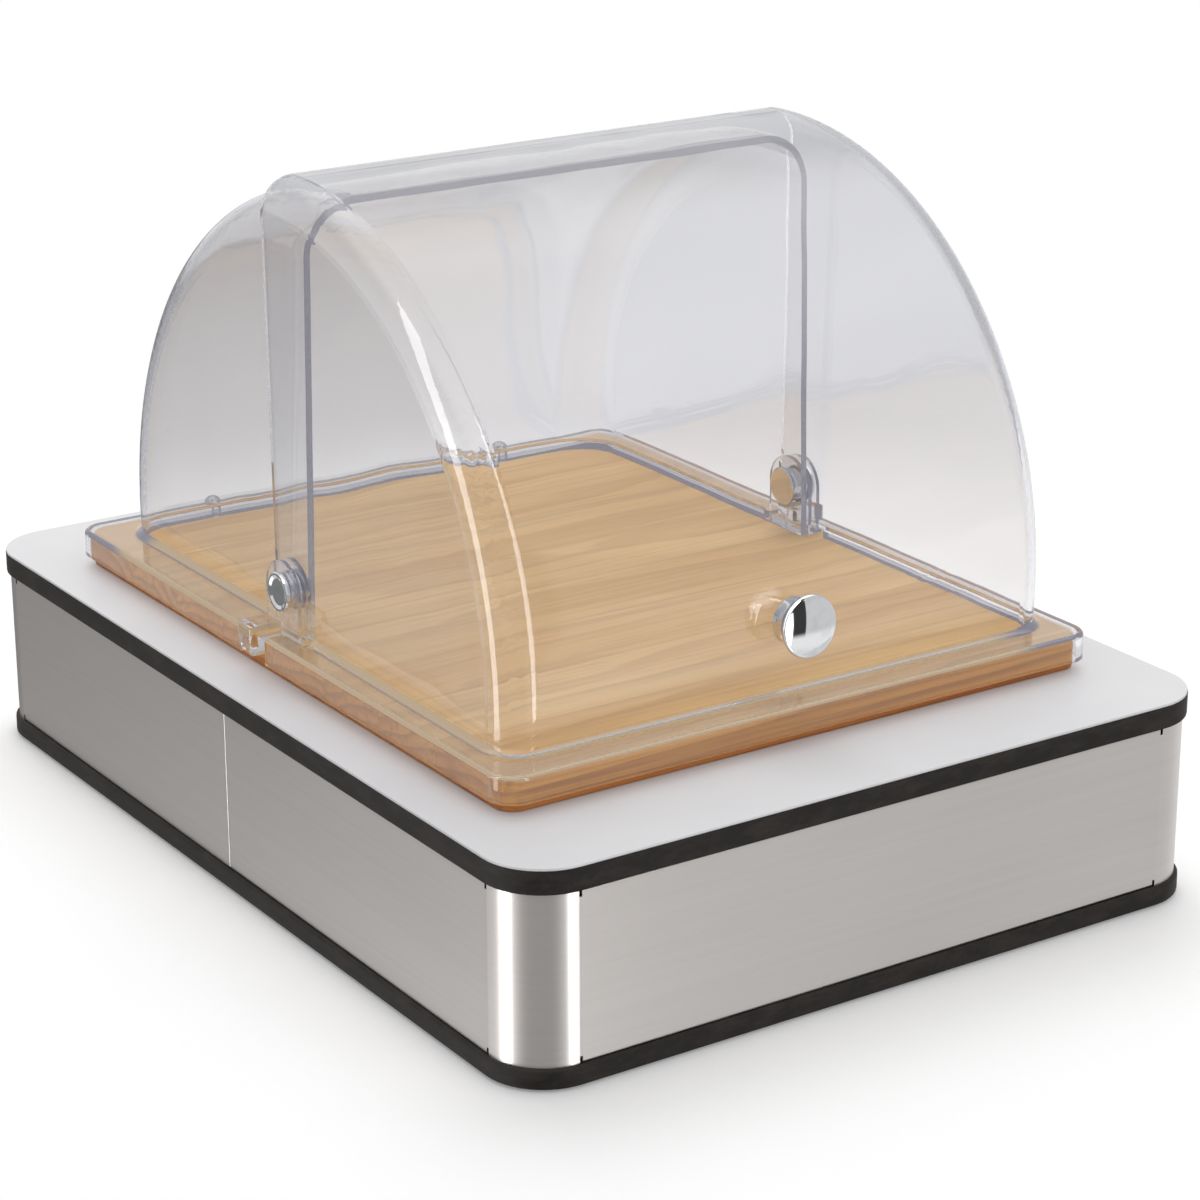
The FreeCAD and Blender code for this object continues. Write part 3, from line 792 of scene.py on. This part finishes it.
@dataclass
class Base:
    """Two black panels, the laminate sheet, the steel band and what holds them."""

    finishes: Finishes
    groove_depth: float = 0.0005
    edge: float = 0.0006
    groove_radii: tuple[float, ...] = (0.0035, 0.0060, 0.0085)
    groove_half: float = 0.0005
    pad_steps: int = 48

    def dress(self) -> None:
        """Give each node of the base its finish."""
        self.finishes.dress(("bottom_panel", "top_panel"), Slot.BLACK_BOARD)
        self.finishes.dress(("top_laminate",), Slot.WHITE_LAMINATE)
        self.finishes.dress(("front_band", "rear_band"), Slot.BRUSHED_BAND)
        fasteners = ("corner_spacer", "tie_bolt", "thread_insert", "flange_screw")
        plated = [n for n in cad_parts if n.startswith(fasteners) or n.endswith("splice_plate")]
        self.finishes.dress(plated, Slot.ZINC_FASTENER)

    def pads(self) -> bpy.types.Object:
        """Foot pads with ring grooves, set out at the corners.

        Returns:
            The four pads as one piece.
        """
        names = sorted(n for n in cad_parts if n.startswith("foot_pad"))
        boxes = [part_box(n) for n in names]
        low, high = boxes[0]
        radius = (high.x - low.x) / 2.0
        profile = [(0.0, high.z), (radius, high.z), (radius, low.z + self.edge), (radius - self.edge, low.z)]
        for middle in reversed(self.groove_radii):
            profile.append((middle + self.groove_half, low.z))
            profile.append((middle + self.groove_half / 2.0, low.z + self.groove_depth))
            profile.append((middle - self.groove_half / 2.0, low.z + self.groove_depth))
            profile.append((middle - self.groove_half, low.z))
        profile.append((0.0, low.z))
        middles = [(a + b) / 2.0 for a, b in boxes]
        spacing = tuple(max(m[i] for m in middles) - min(m[i] for m in middles) for i in (0, 1))
        unit = turned("foot_pad_unit", profile, self.pad_steps)
        piece = CornerLayout().apply("foot_pads", unit, spacing, self.finishes.ready[Slot.RUBBER_PAD])
        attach(piece, Body.BASE.value)
        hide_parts(*names)
        LOG.info("piece %s", piece.name)
        return piece


@dataclass
class ServingBoard:
    """The loose wooden board on the base."""

    finishes: Finishes

    def dress(self) -> None:
        """Give the board its wood."""
        self.finishes.dress(("serving_board",), Slot.BOARD_WOOD)


@dataclass
class Hoods:
    """The fixed rear hood, the rolling front hood and the fittings between them."""

    finishes: Finishes
    walls: tuple[str, ...] = ("front_hood", "rear_hood")
    clear: tuple[str, ...] = (
        "left_hinge_bracket",
        "right_hinge_bracket",
        "left_stop_buffer",
        "right_stop_buffer",
        "knob_washer",
    )
    bright: tuple[str, ...] = (
        "left_hinge_barrel",
        "right_hinge_barrel",
        "left_hinge_screw",
        "right_hinge_screw",
        "knob_screw",
    )

    def dress(self) -> None:
        """Give the hoods and fittings their finishes."""
        self.finishes.dress(self.walls, Slot.CLEAR_HOOD)
        self.finishes.dress(self.clear, Slot.CLEAR_FITTING)
        self.finishes.dress(self.bright, Slot.CHROME)


@dataclass
class Knob:
    """The turned knob on the front hood, with a smooth domed face."""

    finishes: Finishes
    seat: Vector = field(default_factory=lambda: Vector((0.0, -0.15822, 0.12989)))
    tilt: float = 3.9
    lift: float = 0.0002
    neck: float = 0.0092
    radius: float = 0.0123
    length: float = 0.0130
    flare_start: float = 0.0020
    flare_end: float = 0.0105
    flare_hollow: float = 0.0008
    dome: float = 0.0012
    edge: float = 0.0009
    flare_steps: int = 12
    edge_steps: int = 8
    dome_steps: int = 24
    turn_steps: int = 128

    def profile(self) -> list[tuple[float, float]]:
        """Radius and height of each ring, from the seat to the middle of the face.

        Returns:
            The rings, in order.
        """
        rings = [(0.0, self.lift), (self.neck, self.lift)]
        for i in range(self.flare_steps + 1):
            t = i / self.flare_steps
            swell = self.neck + (self.radius - self.neck) * t - 4.0 * self.flare_hollow * t * (1.0 - t)
            rings.append((swell, self.flare_start + (self.flare_end - self.flare_start) * t))
        face = self.radius - self.edge
        brow = self.length - self.dome
        for i in range(self.edge_steps + 1):
            turn = math.pi / 2.0 * i / self.edge_steps
            rings.append((face + self.edge * math.cos(turn), brow - self.edge * (1.0 - math.sin(turn))))
        ball = (face**2 + self.dome**2) / (2.0 * self.dome)
        for i in range(1, self.dome_steps + 1):
            out = face * (1.0 - i / self.dome_steps)
            rings.append((out, self.length - ball + math.sqrt(ball**2 - out**2)))
        return rings

    def build(self) -> bpy.types.Object:
        """Turn the knob and set it on the hood.

        Returns:
            The knob.
        """
        mesh = turned("turned_knob", self.profile(), self.turn_steps)
        lean = math.radians(self.tilt)
        axis = Vector((0.0, -math.cos(lean), math.sin(lean)))
        stand = Vector((0.0, 0.0, 1.0)).rotation_difference(axis).to_matrix().to_4x4()
        mesh.transform(Matrix.Translation(self.seat) @ stand)
        mesh.materials.append(self.finishes.ready[Slot.CHROME])
        piece = bpy.data.objects.new("turned_knob", mesh)
        bpy.context.scene.collection.objects.link(piece)
        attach(piece, Body.FRONT_HOOD.value)
        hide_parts("knob")
        LOG.info("piece %s", piece.name)
        return piece


@dataclass
class Softbox:
    """A soft lamp with a flat rectangular face.

    The compass angle is measured from +Y towards +X, as seen from the case.
    """

    name: str
    compass: float
    height: float
    distance: float
    width: float
    length: float
    radiance: float
    only_gloss: bool = False
    upright: bool = False

    def build(self, target: Vector) -> bpy.types.Object:
        """Make the lamp and turn it to the case.

        Args:
            target: The point that it looks at.

        Returns:
            The lamp.
        """
        lamp = bpy.data.lights.new(self.name, "AREA")
        lamp.shape = "RECTANGLE"
        lamp.size = self.width
        lamp.size_y = self.length
        lamp.energy = self.radiance * math.pi * self.width * self.length
        made = bpy.data.objects.new(self.name, lamp)
        turn = math.radians(self.compass)
        away = Vector((math.sin(turn), math.cos(turn), 0.0)) * self.distance
        made.location = Vector((away.x, away.y, self.height))
        look = target - made.location
        if self.upright:
            look.z = 0.0
        made.rotation_euler = look.to_track_quat("-Z", "Y").to_euler()
        made.visible_diffuse = not self.only_gloss
        made.visible_glossy = self.only_gloss
        made.visible_transmission = False
        made.visible_camera = False
        bpy.context.scene.collection.objects.link(made)
        LOG.info("lamp %s", self.name)
        return made


@dataclass
class Studio:
    """Pale floor, soft surround and soft lamps.

    A sector is a range of compass angles and half of the fade at its ends. A height in the
    mirrored room is the upward part of a direction, from -1 to 1.
    """

    aim: Vector = field(default_factory=lambda: Vector((0.0, 0.0, 0.12)))
    floor_reach: float = 6.0
    floor_steps: int = 96
    floor_colour: Colour = (0.86, 0.86, 0.86)
    floor_lift: float = 0.18
    fade_start: float = 0.34
    fade_end: float = 0.62
    seen_white: Colour = (1.0, 1.0, 1.0)
    through_dim: Colour = (0.53, 0.54, 0.565)
    through_clear: Colour = (1.0, 1.0, 1.012)
    clear_middle: float = 0.92
    clear_right: float = 0.15
    clear_back: float = -0.92
    ambient: float = 0.60
    table_tone: float = 0.94
    table_near: float = 0.24
    backdrop_tone: float = 0.22
    lit_left: float = 0.62
    lit_corner: float = 0.66
    room_tone: float = 0.68
    room_back: float = 0.10
    room_far: float = 0.20
    ceiling_tone: float = 1.5
    camera_shade: float = 0.50
    flag_shade: float = 0.93
    back_left: Sector = (-95.0, 30.0, 20.0)
    camera_side: Sector = (-176.0, -98.0, 12.0)
    flag: Sector = (150.5, 162.0, 0.5)
    far_side: Sector = (5.0, 70.0, 12.0)
    front_right: Sector = (100.0, 176.0, 4.0)
    corner_turn: Span = (22.0, 33.0)
    table_heights: Span = (-0.80, -0.40)
    lit_heights: Span = (-0.46, -0.38)
    horizon_heights: Span = (-0.14, -0.06)
    horizon_drop: float = 0.20
    ceiling_heights: Span = (0.55, 0.85)

    def build(self) -> None:
        """Make the floor, the surround and the lamps."""
        self.floor()
        self.world()
        strip = {"height": 0.6, "distance": 1.5, "length": 3.0, "radiance": 4.8}
        strip.update(only_gloss=True, upright=True)
        lamps = (
            Softbox(
                "top_softbox", compass=30.0, height=2.0, distance=0.9, width=1.6, length=1.6, radiance=2.9
            ),
            Softbox(
                "front_fill", compass=170.0, height=1.1, distance=2.0, width=1.6, length=1.2, radiance=0.9
            ),
            Softbox("left_strip", compass=-87.0, width=0.46, **strip),
            Softbox("right_strip", compass=169.5, width=0.24, **strip),
        )
        for lamp in lamps:
            lamp.build(self.aim)

    def floor(self) -> bpy.types.Object:
        """Make the pale floor, which can be looked through from below.

        Returns:
            The floor, which isn't part of the case.
        """
        shape = bmesh.new()
        bmesh.ops.create_circle(shape, cap_ends=True, radius=self.floor_reach, segments=self.floor_steps)
        shape.normal_update()
        for face in shape.faces:
            if face.normal.z < 0.0:
                face.normal_flip()
        mesh = bpy.data.meshes.new("floor")
        shape.to_mesh(mesh)
        shape.free()
        made = bpy.data.objects.new("floor", mesh)
        bpy.context.scene.collection.objects.link(made)
        material = bpy.data.materials.new("pale_floor")
        material.use_nodes = True
        graph = Graph(material.node_tree)
        x, y, _ = graph.axes(graph.place())
        clear = x * self.clear_right + y * self.clear_back + self.clear_middle
        seen, tone = self.seen(graph, graph.blend(clear, self.through_dim, self.through_clear))
        matt = graph.node("ShaderNodeBsdfDiffuse", None, {"Color": graph.rgba(self.floor_colour)})
        lift = graph.node("ShaderNodeEmission", None, {"Color": tone, "Strength": seen * self.floor_lift})
        near = graph.node("ShaderNodeAddShader", None, {0: matt, 1: lift})
        far = graph.node("ShaderNodeEmission", None, {"Color": tone})
        away = (x * x + y * y) ** 0.5
        share = away.step(self.fade_start, self.fade_end) * seen
        whole = graph.node("ShaderNodeMixShader", None, {0: share, 1: near, 2: far})
        below = graph.node("ShaderNodeNewGeometry", output="Backfacing")
        open_floor = graph.node("ShaderNodeBsdfTransparent")
        whole = graph.node("ShaderNodeMixShader", None, {0: below, 1: whole, 2: open_floor})
        graph.node("ShaderNodeOutputMaterial", None, {"Surface": whole})
        mesh.materials.append(material)
        made.visible_glossy = False
        made.visible_shadow = False
        return made

    def seen(self, graph: Graph, beyond: Wired) -> tuple[Sock, Sock]:
        """Whether the background is looked at, and the tone that it then has.

        Args:
            graph: The node graph of the floor or the world.
            beyond: The tone that shows through a clear wall.

        Returns:
            The share of a ray from the camera or through a clear wall, and the tone.
        """
        camera = graph.node("ShaderNodeLightPath", output="Is Camera Ray")
        through = graph.node("ShaderNodeLightPath", output="Is Transmission Ray")
        tone = graph.blend(camera, beyond, self.seen_white)
        return camera.larger(through), tone

    def mirrored(self, graph: Graph) -> Sock:
        """Brightness of the room that polished surfaces mirror, by direction.

        Args:
            graph: The world's node graph.

        Returns:
            The brightness in a direction.
        """
        x, y, z = graph.axes(graph.node("ShaderNodeTexCoord", output="Generated"))
        turn = x.heading(y)
        back_left = turn.within(*self.back_left)
        table = self.table_tone - turn.within(*self.camera_side) * self.camera_shade
        far_table = z.step(*self.table_heights)
        table = table * far_table + self.table_near * (1.0 - far_table)
        lit = 1.0 - z.step(*self.lit_heights)
        corner = (0.0 - turn).step(*self.corner_turn)
        left = self.backdrop_tone + lit * (self.lit_left + corner * self.lit_corner)
        table = table * (1.0 - back_left) + left * back_left
        room = self.room_tone + back_left * self.room_back + turn.within(*self.far_side) * self.room_far
        room = room + z.step(*self.ceiling_heights) * self.ceiling_tone
        room = room * (1.0 - turn.within(*self.flag) * self.flag_shade)
        above = (z + turn.within(*self.front_right) * self.horizon_drop).step(*self.horizon_heights)
        return table * (1.0 - above) + room * above

    def world(self) -> None:
        """Make the surround: white where it is looked at, a room where it is mirrored."""
        world = bpy.data.worlds.new("surround")
        world.use_nodes = True
        bpy.context.scene.world = world
        graph = Graph(world.node_tree)
        seen, tone = self.seen(graph, self.through_dim)
        glossy = graph.node("ShaderNodeLightPath", output="Is Glossy Ray")
        strength = self.mirrored(graph) * glossy + (1.0 - glossy) * self.ambient
        strength = seen + (1.0 - seen) * strength
        tone = graph.blend(seen, (1.0, 1.0, 1.0), tone)
        sky = graph.node("ShaderNodeBackground", None, {"Color": tone, "Strength": strength})
        graph.node("ShaderNodeOutputWorld", None, {"Surface": sky})


@dataclass
class Viewpoint:
    """The camera at the photograph's place."""

    place: Vector = field(default_factory=lambda: Vector((-0.7276, -1.1221, 0.5667)))
    look: Vector = field(default_factory=lambda: Vector((0.5218, 0.7846, -0.3350)))
    roll: float = -0.14
    lens: float = 102.41
    sensor: float = 36.0
    nearest: float = 0.01

    def build(self) -> bpy.types.Object:
        """Make the camera and choose it for the scene.

        Returns:
            The camera.
        """
        lens = bpy.data.cameras.new("viewpoint")
        lens.lens = self.lens
        lens.sensor_width = self.sensor
        lens.clip_start = self.nearest
        made = bpy.data.objects.new("viewpoint", lens)
        ahead = self.look.normalized()
        right = ahead.cross(Vector((0.0, 0.0, 1.0))).normalized()
        above = right.cross(ahead)
        turn = math.radians(self.roll)
        side = math.cos(turn) * right + math.sin(turn) * above
        up = math.cos(turn) * above - math.sin(turn) * right
        stand = Matrix((side, up, -ahead)).transposed().to_4x4()
        made.matrix_world = Matrix.Translation(self.place) @ stand
        bpy.context.scene.collection.objects.link(made)
        bpy.context.scene.camera = made
        return made


def corners(box: tuple[Vector, Vector]) -> list[list[float]]:
    """A box's two corners as plain lists."""
    return [[float(value) for value in corner] for corner in box]


def main() -> None:
    """Dress the case, light it, and place the camera."""
    logging.basicConfig(level=logging.INFO)
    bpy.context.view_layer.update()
    bpy.context.scene.view_settings.view_transform = "Standard"
    finishes = Finishes()
    finishes.make()
    base = Base(finishes)
    base.dress()
    base.pads()
    ServingBoard(finishes).dress()
    Hoods(finishes).dress()
    Knob(finishes).build()
    Studio().build()
    Viewpoint().build()


if __name__ == "__main__":
    main()
